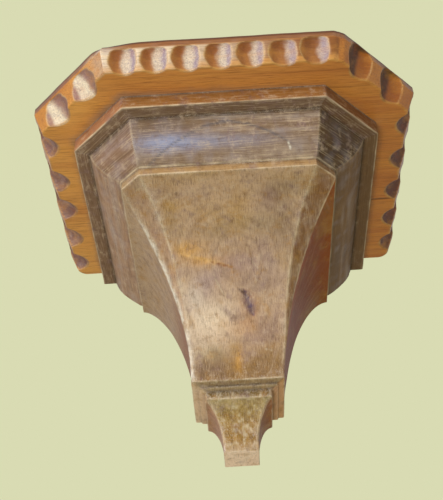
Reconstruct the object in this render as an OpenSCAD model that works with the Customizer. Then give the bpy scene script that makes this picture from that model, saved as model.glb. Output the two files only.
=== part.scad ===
// Wall corbel bracket in two pieces: a shelf board with gouged edges, and a
// corbel body carved from one block that carries it. The wall is the plane
// y = 0, the front faces -Y, and the origin is the mounting point on the flat
// back of the corbel body. All sizes are in millimetres.

/* [Shelf board] */
// Width of the board along the wall
shelf_w = 303; // [250:1:380]
// Depth of the board from the wall to the front edge
shelf_d = 246.5; // [200:0.5:320]
// Thickness of the board
shelf_t = 25; // [21:0.5:32]
// Leg of the 45 degree cut at each front corner
shelf_cut = 61; // [50:1:75]
// Height of the plain upright rim at the top of the edge
rim_h = 7.5; // [5.5:0.5:9]
// How far the edge leans in between the rim and the underside
bevel_in = 7; // [3:0.5:10]
// Radius of the two corners at the wall
back_corner_r = 8; // [3:0.5:14]

/* [Gouge cuts in the edge] */
// Distance between cuts along the front
front_pitch = 24; // [23:0.5:32]
// Distance of the middle of the front row from the middle of the board
front_row_shift = -2.5; // [-5:0.5:5]
// Depth of a front cut at the underside, from the rim
front_bite = 9.5; // [8:0.5:11]
// Distance between cuts along a corner
corner_pitch = 36; // [32:0.5:44]
// Depth of a corner cut at the underside, from the rim
corner_bite = 11; // [9:0.5:15]
// Distance between cuts along a side
side_pitch = 36.5; // [33:0.5:44]
// Distance from the wall to the first cut on a side
side_first = 27; // [22:0.5:34]
// Depth of a side cut at the underside, from the rim
side_bite = 19; // [12:0.5:22]
// Radius of the gouge used along the front
front_gouge_r = 20; // [16:0.5:22]
// Radius of the gouge used on the corners
corner_gouge_r = 22; // [16:0.5:24]
// Radius of the gouge used along the sides
side_gouge_r = 18; // [14:0.5:22]
// Radius with which each cut rounds out below the rim
cut_end_r = 7; // [5:0.5:9]
// Distance below the rim at which a cut is as wide as it gets there
cut_start_drop = 4; // [3.5:0.5:6]
// Depth of a cut at that height, from the rim
cut_start_in = 5; // [4:0.5:6]

/* [Corbel body, upper mouldings] */
// Width of the board's underside left clear around the body
overhang = 31.5; // [20:0.5:40]
// Height of the flat fillet under the board
fillet_h = 13; // [8:0.5:18]
// Width of the soffit between the fillet and the ovolo
soffit_w = 11.5; // [6:0.5:16]
// Height of the ovolo
ovolo_h = 28; // [20:0.5:36]
// Width by which the ovolo draws in over its height
ovolo_run = 24.5; // [16:0.5:30]
// How far the ovolo swells beyond a straight slope, as a share of its run
ovolo_swell = 0.18; // [0.1:0.01:0.21]
// Ledge by which the ovolo overhangs the narrow band below it
band_ledge = 1; // [0.5:0.1:3]
// Leg of the corner cut of the band
band_cut = 15; // [8:0.5:20]
// Height of the band
band_h = 7; // [4:0.5:10]

/* [Corbel body, hollow tongue] */
// Height of the tongue from the band to its foot
tongue_h = 115; // [90:1:140]
// Width of the tongue at its foot
foot_w = 73; // [66:1:88]
// Depth of the tongue at its foot
foot_d = 63.5; // [58:0.5:80]
// Fullness of the hollow front, where 2 is a quarter ellipse and less is flatter
front_curve = 2; // [1.5:0.05:2.4]
// Fullness of the hollow sides
side_curve = 1.75; // [1.4:0.05:2.4]
// How quickly the corner cut runs out towards the foot
cut_runout = 1.9; // [1:0.1:3]

/* [Corbel body, pendant] */
// Margin of the low collar around the top of the pendant
collar_margin = 5; // [3:0.5:6]
// Height of the collar
collar_h = 1.6; // [1:0.1:3]
// Width of the pendant
pendant_w = 53; // [44:1:54]
// Depth of the pendant
pendant_d = 50.5; // [42:0.5:52]
// Height of the upright band at the top of the pendant
pendant_band_h = 7; // [4:0.5:12]
// Height of the hollow below that band
pendant_hollow_h = 28; // [20:0.5:40]
// Width of the square stub at the bottom
stub_w = 28; // [22:1:40]
// Depth of the stub
stub_d = 25; // [20:0.5:40]
// Height of the stub
stub_h = 5; // [3:0.5:15]

/* [Mounting] */
// Distance of the mounting point below the top of the board
mount_drop = 80; // [50:1:100]

/* [Hidden] */
$fn = 64;
tongue_steps = 20;
moulding_steps = 8;
eps = 0.01;
// A 45 degree corner set back by x with its neighbours has its leg shorter by this share of x.
cut_share = 2 - sqrt(2);

shelf_bottom = mount_drop - shelf_t;
fillet_bottom = shelf_bottom - fillet_h;
ovolo_bottom = fillet_bottom - ovolo_h;
band_bottom = ovolo_bottom - band_h;
foot_bottom = band_bottom - tongue_h;
collar_bottom = foot_bottom - collar_h;
pendant_band_bottom = collar_bottom - pendant_band_h;
hollow_bottom = pendant_band_bottom - pendant_hollow_h;
stub_bottom = hollow_bottom - stub_h;

// An outline is [width, depth, leg of the corner cut], and a level is an outline at a height.
function set_back(o, x) = [o[0] - 2 * x, o[1] - x, o[2] - cut_share * x];
function level(z, o) = [z, o[0], o[1], o[2]];
function mix(a, b, t) = a + (b - a) * t;

shelf_outline = [shelf_w, shelf_d, shelf_cut];
fillet_outline = set_back(shelf_outline, overhang);
ovolo_outline = set_back(fillet_outline, soffit_w);
band_outline = concat(
    [for (i = [0, 1]) set_back(ovolo_outline, ovolo_run + band_ledge)[i]], [band_cut]);
ovolo_end_outline = set_back(band_outline, -band_ledge);
foot_outline = [foot_w, foot_d, 0];
pendant_outline = [pendant_w, pendant_d, 0];
collar_outline = [pendant_w + 2 * collar_margin, pendant_d + collar_margin, 0];
stub_outline = [stub_w, stub_d, 0];

// Share of the way in from the upper to the lower outline, at t from 0 at the top to 1.
function swelling(t) = t - ovolo_swell * 4 * t * (1 - t);
function hollow(t, fullness) = pow(1 - pow(1 - t, fullness), 1 / fullness);

// Levels between two outlines. The steps of a hollow are even in angle, so that it stays smooth.
ovolo_levels = [
    for (i = [0 : moulding_steps]) let (t = i / moulding_steps)
        level(mix(fillet_bottom, ovolo_bottom, t),
              mix(ovolo_outline, ovolo_end_outline, swelling(t)))
];
tongue_levels = [
    for (i = [0 : tongue_steps]) let (t = 1 - cos(90 * i / tongue_steps))
        level(mix(band_bottom, foot_bottom, t),
              [mix(band_outline[0], foot_w, hollow(t, side_curve)),
               mix(band_outline[1], foot_d, hollow(t, front_curve)),
               band_cut * pow(1 - t, cut_runout)])
];
pendant_levels = [
    for (i = [0 : moulding_steps]) let (t = 1 - cos(90 * i / moulding_steps))
        level(mix(pendant_band_bottom, hollow_bottom, t),
              mix(pendant_outline, stub_outline, hollow(t, front_curve)))
];

body_levels = concat(
    [level(shelf_bottom, fillet_outline), level(fillet_bottom, fillet_outline)],
    ovolo_levels,
    [level(ovolo_bottom, band_outline)],
    tongue_levels,
    [level(foot_bottom, collar_outline), level(collar_bottom, collar_outline),
     level(collar_bottom, pendant_outline)],
    pendant_levels,
    [level(stub_bottom, stub_outline)]
);
shelf_levels = [
    level(mount_drop, shelf_outline),
    level(mount_drop - rim_h, shelf_outline),
    level(shelf_bottom, set_back(shelf_outline, bevel_in))
];

// Number of gouge cuts that fit along each edge.
front_cuts = floor((shelf_w - 2 * shelf_cut) / front_pitch);
corner_cuts = floor(shelf_cut * sqrt(2) / corner_pitch);
side_cuts = 1 + floor((shelf_d - shelf_cut - side_first) / side_pitch);

// Distance of the corner face from the upright line through the origin, square to the face.
function corner_reach(l) = (l[1] / 2 + l[2] - l[3]) / sqrt(2);

// A slab that reaches as far as given at each level, and runs on both ways along Y.
module profile_slab(levels, reaches, length) {
    last = len(levels) - 1;
    outline = concat(
        [[-eps, levels[0][0]]],
        [for (i = [0 : last]) [reaches[i], levels[i][0]]],
        [[-eps, levels[last][0]]]
    );
    rotate([90, 0, 0]) translate([0, 0, -length / 2]) linear_extrude(length) polygon(outline);
}

// The solid whose front, sides and 45 degree corners all follow the same levels.
module mitred_solid(levels) {
    size = 2 * (shelf_w + shelf_d);
    front = [for (l = levels) l[2]];
    side = [for (l = levels) l[1] / 2];
    corner = [for (l = levels) corner_reach(l)];
    intersection() {
        rotate([0, 0, -90]) profile_slab(levels, front, size);
        union() for (flip = [0, 1]) mirror([flip, 0, 0]) profile_slab(levels, side, size);
        intersection_for(flip = [0, 1]) mirror([flip, 0, 0]) union() {
            rotate([0, 0, -45]) profile_slab(levels, corner, size);
            translate([-size, -size, stub_bottom]) cube([size, 2 * size, size]);
        }
        translate([-size, -size, stub_bottom]) cube([2 * size, size, size]);
    }
}

// One gouge cut. The rim's face is at y = 0 with the board on the +Y side, and z = 0 is the
// top of the board. The groove leans in until it meets the underside at bite behind the rim.
module gouge_cut(bite, gouge_r) {
    start_z = -rim_h - cut_start_drop;
    lean = atan2(bite - cut_start_in, shelf_t + start_z);
    translate([0, cut_start_in, start_z]) rotate([lean, 0, 0]) {
        translate([0, -gouge_r, -2 * shelf_t]) cylinder(h = 2 * shelf_t, r = gouge_r);
        translate([0, -cut_end_r, 0]) rotate([0, 90, 0]) rotate_extrude()
            intersection() {
                translate([cut_end_r - gouge_r, 0]) circle(gouge_r);
                translate([0, -gouge_r]) square([gouge_r, 2 * gouge_r]);
            }
    }
}

module row_of_cuts(count, pitch, bite, gouge_r) {
    for (i = [0 : count - 1])
        translate([(i - (count - 1) / 2) * pitch, 0, 0]) gouge_cut(bite, gouge_r);
}

module front_row() {
    translate([front_row_shift, -shelf_d, mount_drop])
        row_of_cuts(front_cuts, front_pitch, front_bite, front_gouge_r);
}

module corner_row() {
    translate([(shelf_w - shelf_cut) / 2, -shelf_d + shelf_cut / 2, mount_drop])
        rotate([0, 0, 45]) row_of_cuts(corner_cuts, corner_pitch, corner_bite, corner_gouge_r);
}

module side_row() {
    middle = side_first + (side_cuts - 1) / 2 * side_pitch;
    translate([shelf_w / 2, -middle, mount_drop])
        rotate([0, 0, 90]) row_of_cuts(side_cuts, side_pitch, side_bite, side_gouge_r);
}

module back_corner_waste() {
    translate([shelf_w / 2 - back_corner_r, -back_corner_r, shelf_bottom - eps])
        difference() {
            cube([back_corner_r + 1, back_corner_r + 1, shelf_t + 2 * eps]);
            translate([0, 0, -1]) cylinder(h = shelf_t + 2, r = back_corner_r);
        }
}

module shelf_board() {
    color("peru") difference() {
        mitred_solid(shelf_levels);
        front_row();
        for (flip = [0, 1]) mirror([flip, 0, 0]) {
            corner_row();
            side_row();
            back_corner_waste();
        }
    }
}

module corbel_body() {
    color("darkkhaki") mitred_solid(body_levels);
}

shelf_board();
corbel_body();
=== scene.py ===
"""Wall corbel bracket: a shelf board with gouged edges on a body carved from one block.

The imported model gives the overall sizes. Both of its nodes are replaced by meshes that follow the
same levels and add what the plain solids lack: worn arrises, uneven gouge cuts, dents, checks, a
knot and chips. Sizes are in millimetres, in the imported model's frame: the wall is y = 0, the front
faces -Y, and the meshes are turned into metres as they are made.
"""

import itertools
import math

import bpy
import numpy as np
from mathutils import Matrix, Vector


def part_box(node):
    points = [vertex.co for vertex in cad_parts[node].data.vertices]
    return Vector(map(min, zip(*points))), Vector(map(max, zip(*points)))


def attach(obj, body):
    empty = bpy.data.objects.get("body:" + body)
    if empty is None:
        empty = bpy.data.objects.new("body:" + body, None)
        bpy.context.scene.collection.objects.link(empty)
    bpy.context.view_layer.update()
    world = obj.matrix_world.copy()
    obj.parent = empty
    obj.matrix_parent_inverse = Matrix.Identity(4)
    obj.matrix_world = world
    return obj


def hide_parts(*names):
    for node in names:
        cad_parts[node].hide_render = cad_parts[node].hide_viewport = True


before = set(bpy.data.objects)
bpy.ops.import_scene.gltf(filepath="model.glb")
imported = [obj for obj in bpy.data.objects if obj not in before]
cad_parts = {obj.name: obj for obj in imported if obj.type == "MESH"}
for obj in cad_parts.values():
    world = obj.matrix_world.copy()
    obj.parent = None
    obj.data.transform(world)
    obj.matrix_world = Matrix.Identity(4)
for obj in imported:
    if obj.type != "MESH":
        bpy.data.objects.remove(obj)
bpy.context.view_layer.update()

MM = 0.001
board_low, board_high = (np.array(corner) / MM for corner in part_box("shelf_board"))
body_low, body_high = (np.array(corner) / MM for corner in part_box("corbel_body"))

# ---- sizes of the board
BOARD_HALF = board_high[0]
BOARD_DEPTH = -board_low[1]
BOARD_TOP = board_high[2]
BOARD_BOTTOM = board_low[2]
BOARD_THICK = BOARD_TOP - BOARD_BOTTOM
BOARD_CUT = 61.0
RIM_HEIGHT = 7.5
BEVEL_IN = 7.0
BACK_CORNER_R = 8.0
CUT_SHARE = 2 - math.sqrt(2)

# ---- sizes of the body
OVERHANG = board_high[0] - body_high[0]
FILLET_H = 13.0
SOFFIT_W = 11.5
OVOLO_H = 28.0
OVOLO_RUN = 24.5
OVOLO_SWELL = 0.18
BAND_LEDGE = 1.0
BAND_CUT = 15.0
BAND_H = 7.0
TONGUE_H = 115.0
FOOT = (36.5, 63.5, 0.0)
FRONT_CURVE = 2.0
SIDE_CURVE = 1.75
CUT_RUNOUT = 1.9
COLLAR = (31.5, 55.5, 0.0)
COLLAR_H = 1.6
PENDANT = (26.5, 50.5, 0.0)
PENDANT_BAND_H = 7.0
PENDANT_HOLLOW_H = 28.0
STUB = (14.0, 25.0, 0.0)
STUB_BOTTOM = body_low[2]
PITH = np.array([3.0, -102.0])
CARVED_RING_PITCH = 5.2
PAINTED_RING_PITCH = 7.4

FILLET_BOTTOM = BOARD_BOTTOM - FILLET_H
OVOLO_BOTTOM = FILLET_BOTTOM - OVOLO_H
BAND_BOTTOM = OVOLO_BOTTOM - BAND_H
FOOT_BOTTOM = BAND_BOTTOM - TONGUE_H
COLLAR_BOTTOM = FOOT_BOTTOM - COLLAR_H
PENDANT_BAND_BOTTOM = COLLAR_BOTTOM - PENDANT_BAND_H


# ---- small tools
def rgb(text):
    """Linear colour of a hex colour such as a86f38."""
    parts = np.array([int(text[i : i + 2], 16) for i in (0, 2, 4)]) / 255
    return np.where(parts < 0.04045, parts / 12.92, ((parts + 0.055) / 1.055) ** 2.4)


def unit(value):
    """value, held between 0 and 1."""
    return np.clip(value, 0, 1)


def rise(value, low, high):
    """0 below low, 1 above high, and smooth between."""
    t = unit((value - low) / (high - low))
    return t * t * (3 - 2 * t)


def bump_at(value, middle, width):
    """A smooth bump of height 1 at middle."""
    return np.exp(-(((value - middle) / width) ** 2))


def noise(points, size, seed):
    """Smooth noise from -1 to 1. size, for all axes or for each, is about how big its features are."""
    table = np.random.default_rng(seed).uniform(-1, 1, 4096)
    scaled = points / np.array(size) + 64
    cell = np.floor(scaled).astype(np.int64)
    part = scaled - cell
    part = part * part * (3 - 2 * part)
    total = np.zeros(points.shape[:-1])
    for corner in itertools.product((0, 1), repeat=3):
        at = cell + corner
        key = (at[..., 0] * 73856093 ^ at[..., 1] * 19349663 ^ at[..., 2] * 83492791) % 4096
        weight = np.prod(np.where(np.array(corner) == 1, part, 1 - part), axis=-1)
        total += table[key] * weight
    return total


def rough(points, size, seed):
    """Noise with two finer layers on top."""
    scales = (1.0, 0.5, 0.25)
    layers = (scale * noise(points, np.array(size) * scale, seed + i) for i, scale in enumerate(scales))
    return sum(layers) / sum(scales)


def spot(points, centre, radii):
    """A soft round patch."""
    return np.exp(-((((points - np.array(centre)) / np.array(radii)) ** 2).sum(-1)))


def groove(points, start, end, half_width):
    """A mask along a straight line, widest in its middle and running out at both ends."""
    start = np.array(start, float)
    along = np.array(end, float) - start
    share = unit(((points - start) @ along) / (along @ along))
    distance = np.linalg.norm(points - (start + share[..., None] * along), axis=-1)
    width = half_width * np.sqrt(np.clip(1 - (2 * share - 1) ** 2, 0.02, 1))
    return np.exp(-((distance / width) ** 2))


def paint(colour, *layers):
    """colour with each layer in turn, a mask and a tone, laid over it where the mask is 1."""
    for mask, tone in layers:
        mask = unit(mask)[..., None]
        colour = colour * (1 - mask) + rgb(tone) * mask
    return colour


def set_back(outline, x):
    """An outline of (half width, depth, corner cut) with each face moved in by x."""
    return np.array([outline[0] - x, outline[1] - x, outline[2] - CUT_SHARE * x])


def hollow(t, fullness):
    """How far in a hollow has come, t of the way down it: a quarter ellipse at a fullness of 2."""
    return (1 - (1 - t) ** fullness) ** (1 / fullness)


def grid_normals(points):
    """Normals of a grid of points, pointing away from the solid."""
    down = np.gradient(points, axis=0)
    across = np.gradient(points, axis=1)
    normals = np.cross(across, down)
    return normals / np.maximum(np.linalg.norm(normals, axis=-1, keepdims=True), 1e-9)


def make_piece(name, points, attributes, colour):
    """A mesh object in metres from a grid of points, with a colour and plain values at each. The two
    edge columns lie on the wall and are joined by one face, and the first and last rows are closed."""
    number = np.arange(points[..., 0].size).reshape(points.shape[:2])
    quads = np.stack([number[1:, :-1], number[1:, 1:], number[:-1, 1:], number[:-1, :-1]], axis=-1)
    wall = np.concatenate([number[:, 0], number[::-1, -1]])
    faces = quads.reshape(-1, 4).tolist()
    faces += [wall.tolist(), number[0].tolist(), number[-1, ::-1].tolist()]
    mesh = bpy.data.meshes.new(name)
    mesh.from_pydata((points.reshape(-1, 3) * MM).tolist(), [], faces)
    mesh.shade_smooth()
    mesh.set_sharp_from_angle(angle=math.radians(50))
    layer = mesh.color_attributes.new("paint", "FLOAT_COLOR", "POINT")
    rgba = np.concatenate([colour, np.ones((*number.shape, 1))], axis=-1)
    layer.data.foreach_set("color", rgba.astype(np.float32).ravel())
    for key, values in attributes.items():
        values = values.astype(np.float32).ravel()
        mesh.attributes.new(key, "FLOAT", "POINT").data.foreach_set("value", values)
    mesh.validate()
    piece = bpy.data.objects.new(name, mesh)
    bpy.context.scene.collection.objects.link(piece)
    return piece


# ---- the body's form
def body_profile():
    """Rows down the body: the zone that starts there, its (z, half width, depth, cut), and a mark
    where it is an arris or a crease."""
    board = np.array([BOARD_HALF, BOARD_DEPTH, BOARD_CUT])
    fillet = set_back(board, OVERHANG)
    ovolo = set_back(fillet, SOFFIT_W)
    band = set_back(ovolo, OVOLO_RUN + BAND_LEDGE)
    band[2] = BAND_CUT
    ovolo_end = set_back(band, -BAND_LEDGE)
    foot, collar, pendant, stub = (np.array(o) for o in (FOOT, COLLAR, PENDANT, STUB))
    rows = []

    def add(zone, z, outline, mark=""):
        rows.append((zone, np.array([z, *outline]), mark))

    hidden_lap = 0.3
    add("fillet", BOARD_BOTTOM + hidden_lap, fillet)
    add("fillet", BOARD_BOTTOM, fillet, "crease")
    add("soffit", FILLET_BOTTOM, fillet, "arris")
    add("ovolo", FILLET_BOTTOM - 0.05, ovolo, "crease")
    for t in np.linspace(0, 1, 25)[1:]:
        share = t - OVOLO_SWELL * 4 * t * (1 - t)
        z = FILLET_BOTTOM + (OVOLO_BOTTOM - FILLET_BOTTOM) * t
        add("ovolo", z, ovolo + (ovolo_end - ovolo) * share, "arris" if t == 1 else "")
    add("band", OVOLO_BOTTOM - 0.05, band, "crease")
    add("tongue", BAND_BOTTOM, band, "arris")
    for angle in np.linspace(0, math.pi / 2, 61)[1:]:
        t = 1 - math.cos(angle)
        half = band[0] + (foot[0] - band[0]) * hollow(t, SIDE_CURVE)
        depth = band[1] + (foot[1] - band[1]) * hollow(t, FRONT_CURVE)
        cut = BAND_CUT * (1 - t) ** CUT_RUNOUT
        add("tongue", BAND_BOTTOM - TONGUE_H * t, (half, depth, cut))
    rows[-1] = ("foot", rows[-1][1], "arris")
    add("collar", FOOT_BOTTOM - 0.05, collar, "crease")
    add("collar", COLLAR_BOTTOM, collar, "arris")
    add("pendant", COLLAR_BOTTOM - 0.05, pendant, "crease")
    add("hollow", PENDANT_BAND_BOTTOM, pendant, "arris")
    for angle in np.linspace(0, math.pi / 2, 31)[1:]:
        t = 1 - math.cos(angle)
        share = hollow(t, FRONT_CURVE)
        add("hollow", PENDANT_BAND_BOTTOM - PENDANT_HOLLOW_H * t, pendant + (stub - pendant) * share)
    add("bottom", STUB_BOTTOM, stub, "arris")
    add("bottom", STUB_BOTTOM, stub * 0.03)
    return rows


ZONES = ["fillet", "soffit", "ovolo", "band", "tongue", "foot", "collar", "pendant", "hollow", "bottom"]
FINE_STEP = 0.25
ARRIS_SOFTNESS = 0.55
STATION_STEP = 1.4
ARRIS_STATION_STEP = 0.42
EDGE_POINTS = np.array([0.0, 0.4, 0.9, 1.5, 2.3, 3.3])
SIDE_COLUMNS, CORNER_COLUMNS, FRONT_COLUMNS = 66, 17, 114
LEAST_CUT = 1.1


def body_stations():
    """The profile resampled, closer at its arrises, which are rounded a little by wear. Also each
    station's zone, its distances from the nearest arris and crease, and its distance down."""
    rows = body_profile()
    values = np.array([row[1] for row in rows])
    step = np.linalg.norm(np.diff(values[:, :3], axis=0) * [1, 0.7, 0.7], axis=1)
    along = np.concatenate([[0], np.cumsum(step)])
    marks = {
        kind: np.array([along[i] for i, row in enumerate(rows) if row[2] == kind])
        for kind in ("arris", "crease")
    }
    fine = np.arange(0, along[-1], FINE_STEP)
    smooth = np.stack([np.interp(fine, along, values[:, i]) for i in range(4)], axis=1)
    reach = 8
    kernel = bump_at(np.arange(-reach, reach + 1) * FINE_STEP, 0, ARRIS_SOFTNESS * math.sqrt(2))
    kernel /= kernel.sum()
    padded = np.pad(smooth, ((reach, reach), (0, 0)), mode="edge")
    for i in range(4):
        smooth[:, i] = np.convolve(padded[:, i], kernel, mode="valid")
    every = np.concatenate([marks["arris"], marks["crease"]])
    density = 1 / STATION_STEP + (1 / ARRIS_STATION_STEP) * sum(
        bump_at(fine, mark, 1.3) for mark in every
    )
    count = np.cumsum(density) * FINE_STEP
    picked = np.interp(np.arange(0, count[-1], 1.0), count, fine)
    stations = np.stack([np.interp(picked, fine, smooth[:, i]) for i in range(4)], axis=1)
    zone_number = [ZONES.index(row[0]) for row in rows]
    zones = np.array([zone_number[max(0, np.searchsorted(along, s) - 1)] for s in picked])
    nearest = {kind: np.abs(picked[:, None] - marks[kind][None, :]).min(1) for kind in marks}
    return stations, zones, nearest, picked


def spread(length, count, start, end):
    """Distances along stretches of these lengths, closer together at ends that are arrises."""
    near = EDGE_POINTS[None, :] * np.minimum(1, 0.42 * length / EDGE_POINTS[-1])[:, None]
    first = near if start else np.zeros((len(length), 1))
    last = length[:, None] - near[:, ::-1] if end else length[:, None]
    middle = count - first.shape[1] - last.shape[1]
    share = (np.arange(middle) + 1) / (middle + 1)
    return np.hstack([first, first[:, -1:] + (last[:, :1] - first[:, -1:]) * share, last])


def body_grid(stations):
    """Points of the body by station and column, and for each its distance from the nearest plan
    arris, the stretch of the outline that its column is on, its distance round the outline, and its
    distance from the left arris of the front."""
    half, depth = stations[:, 1], stations[:, 2]
    cut = np.maximum(stations[:, 3], LEAST_CUT * np.minimum(1, half / STUB[0]))
    wall = np.zeros_like(half)
    across = [half, half, half - cut, cut - half, -half, -half]
    corners = np.array([across, [wall, cut - depth, -depth, -depth, cut - depth, wall]]).T
    sides = np.diff(corners, axis=1)
    lengths = np.linalg.norm(sides, axis=2)
    ways = sides / lengths[..., None]
    counts = [SIDE_COLUMNS, CORNER_COLUMNS, FRONT_COLUMNS, CORNER_COLUMNS, SIDE_COLUMNS]
    plan, run, stretch, starts = [], [], [], [wall]
    for i, count in enumerate(counts):
        distance = spread(lengths[:, i], count, start=i > 0, end=i < 4)
        keep = slice(min(i, 1), None)
        plan.append((corners[:, i, None] + ways[:, i, None] * distance[..., None])[:, keep])
        run.append((starts[-1][:, None] + distance)[:, keep])
        stretch.append(np.full(run[-1].shape[1], i))
        starts.append(starts[-1] + lengths[:, i])
    plan, run = np.concatenate(plan, axis=1), np.concatenate(run, axis=1)
    arris_distance = np.full(run.shape, 99.0)
    for i in range(1, 5):
        limit = 0.45 * np.minimum(lengths[:, i - 1], lengths[:, i])
        place = np.concatenate([corners[:, i], stations[:, :1]], axis=1)
        wanted = (1.1 + 0.8 * rise(-stations[:, 0], 0, 60)) * (1 + 0.5 * noise(place, 9, 5 + i))
        tangent = np.minimum(wanted, limit)[:, None]
        signed = run - starts[i][:, None]
        t = unit(0.5 * (1 + signed / tangent))[..., None]
        corner = corners[:, i, None]
        a = corner - ways[:, i - 1, None] * tangent[..., None]
        b = corner + ways[:, i, None] * tangent[..., None]
        rounded = (1 - t) ** 2 * a + 2 * t * (1 - t) * corner + t**2 * b
        plan = np.where((np.abs(signed) < tangent)[..., None], rounded, plan)
        arris_distance = np.minimum(arris_distance, np.abs(signed))
    z = np.broadcast_to(stations[:, :1], run.shape)
    points = np.concatenate([plan, z[..., None]], axis=2)
    left_arris = np.abs(run - starts[4][:, None])
    return points, arris_distance, np.concatenate(stretch), run, left_arris


# Marks on the body, as start, end and half width.
KNOT = ((7.5, -86.5, -38.5), (14.5, -76, -57), 3.0)
KNOT_TAIL = ((2, -87.5, -37), (9.5, -84, -42), 1.1)
RADIAL_CHECK = ((-42, -109, -16), (0, -99, -25), 0.9)
SCRATCHES = [
    ((34, -67, -80), (24, -63.5, -105), 0.5),
    ((30, -68, -70), (36, -72, -62), 0.4),
    ((-17, -95, -28), (-8, -84, -42), 0.4),
    ((20, -118, -11), (36, -110, -16), 0.4),
    ((-60, -150, 4), (-38, -160, 6), 0.5),
    ((20, -66.5, -82), (31, -66, -86), 0.35),
    ((8, -110, -16), (22, -95, -28), 0.35),
]
NICK = ((47, -190, 22.5), (49, -184, 17), 0.5)
PENDANT_CHECKS = [
    ((-5, -47, -117), (-2.5, -27, -134), 0.8),
    ((4, -35, -122), (5, -26, -140), 0.5),
    ((-6.5, -50.5, -110), (-6, -50, -117), 0.6),
]
# Places where wood is lost, as centre, radius and depth.
CHIPS = [
    ((-25, -49, -117), 5.5, 1.6),
    ((-28, -54, -109), 6.0, 1.3),
    ((-22, -44, -120), 4.0, 1.2),
    ((25, -42, -121), 4.0, 0.9),
    ((-13, -25, -149), 3.5, 1.2),
    ((12, -26, -146), 3.0, 0.9),
    ((-70, -163, 4), 4.5, 0.9),
    ((-62, -152, -2), 5.0, 0.8),
    ((102, -1, 41), 7.0, 2.0),
    ((83, -172, 14), 3.0, 0.8),
    ((-35, -62, -107), 4.0, 0.9),
]


def carve_body(points, normals, plan_arris, profile_arris, zones):
    """Wear, tool marks, dents, checks and chips, as movements along the normals."""
    z = points[..., 2]
    depth = 0.22 * rough(points, 34, 11) + 0.07 * rough(points, (6, 6, 9), 12)
    on_ovolo, on_tongue = ((zones == ZONES.index(name))[:, None] for name in ("ovolo", "tongue"))
    depth += on_ovolo * noise(points * [0.02, 0.02, 1], (1, 1, 1.7), 13) * 0.12
    depth += on_tongue * noise(points * [1, 0.4, 0.3], 9, 14) * 0.14
    radius = np.hypot(points[..., 0] - PITH[0], points[..., 1] - PITH[1])
    radius = radius + 1.2 * rough(points, (22, 22, 40), 16)
    rings = on_tongue * np.sin(radius * 2 * math.pi / CARVED_RING_PITCH) * 0.035
    depth += rings * rise(-z, -10, 30)
    wear = bump_at(plan_arris, 0, 1.6) + bump_at(profile_arris, 0, 1.3)[:, None]
    depth -= 0.35 * np.clip(wear, 0, 1.3) * unit(rough(points, 7, 15) + 0.25)
    for lost, marks in (
        (1.5, [KNOT]),
        (0.5, [KNOT_TAIL]),
        (0.12, SCRATCHES),
        (0.45, [RADIAL_CHECK, *PENDANT_CHECKS, NICK]),
    ):
        for mark in marks:
            depth -= lost * groove(points, *mark)
    for centre, size, lost in CHIPS:
        edge = 1 + 0.35 * noise(points, 2.5, 17)
        distance = np.linalg.norm(points - np.array(centre), axis=-1)
        depth -= lost * rise(size * edge - distance, 0, size * 0.6)
    return points + normals * depth[..., None]


# Tones of each zone, from the right side round the front to the left side.
ZONE_TONES = {
    "fillet": ("9a6534", "80522e", "96632f", "a8714c", "b1805e"),
    "soffit": ("6a4e34", "684c38", "775c4a", "7f624e", "82634e"),
    "ovolo": ("74501f", "3c2b20", "866b55", "8a6b5a", "ae8568"),
    "band": ("8c6438", "8a6742", "b08a5c", "a98a64", "a88058"),
    "tongue": ("8a4206", "875c38", "b8987c", "b08a6c", "b8987c"),
    "foot": ("cf9c70", "a8805c", "9c7b50", "c8a482", "e6c4a4"),
    "collar": ("cf9c70", "a8805c", "a88a5e", "c8a482", "e2be9c"),
    "pendant": ("b27c4a", "8c6a3c", "80652f", "a88a5c", "c49c7c"),
    "hollow": ("9c5c2c", "a8845c", "ac8a40", "bd9c74", "b8866a"),
}
# Patches on the front of the tongue, as centre, radii, tone and strength. The pale ones low on the left
# are a painted sheen.
TONGUE_PATCHES = [
    # painted sheen: this pale patch and the next
    ((-20, -74, -60), (22, 14, 19), "ecd6ba", 0.9),
    ((-28, -68, -78), (12, 12, 12), "ceb79e", 0.7),
    ((4, -72, -66), (20, 14, 10), "c79b6c", 0.55),
    # painted sheen: this pale patch
    ((-32, -84, -40), (9, 9, 16), "d9cabb", 0.6),
    ((-36, -112, -14), (13, 9, 5), "dca24c", 0.85),
    ((-20, -104, -21), (14, 6, 3.5), "e0a54e", 0.8),
    ((5, -144, 2), (7, 16, 7), "b88c48", 0.55),
    ((-46, -146, 2), (7, 8, 5), "c29038", 0.7),
    ((-22, -138, 1), (12, 10, 6), "b48a4c", 0.5),
    ((3, -102, -24), (22, 12, 12), "a1807c", 0.6),
    ((20, -90, -36), (14, 14, 12), "927870", 0.5),
    ((-22, -94, -34), (10, 12, 10), "a58c8a", 0.6),
    ((32, -151, 3.5), (8, 8, 6), "84605a", 0.75),
    ((40, -146, 2), (7, 9, 5), "8b6d5f", 0.5),
    ((1, -65, -90), (3.0, 6, 10), "cf9430", 0.85),
    ((-2, -66, -82), (5, 6, 7), "a88038", 0.6),
    ((9, -74, -60), (9, 8, 8), "b07a4a", 0.5),
    ((24, -70, -68), (12, 10, 12), "84675c", 0.65),
    ((-24, -64, -97), (14, 8, 9), "7d644f", 0.75),
    ((-20, -66, -84), (10, 8, 7), "a5926c", 0.6),
    ((20, -64, -97), (12, 8, 8), "886a4c", 0.6),
    ((48, -158, 6), (26, 10, 8), "8d7868", 0.5),
    ((-50, -170, 8), (12, 14, 8), "a98258", 0.5),
    ((26, -128, -5), (14, 12, 8), "96805e", 0.5),
    ((-14, -122, -6), (24, 9, 5), "8d7046", 0.5),
    ((42, -126, -6), (9, 26, 16), "8c6e4a", 0.6),
    ((-48, -134, -2), (8, 22, 12), "8f7048", 0.5),
    ((4, -112, -18), (20, 5, 4), "b58c4a", 0.5),
]


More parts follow.
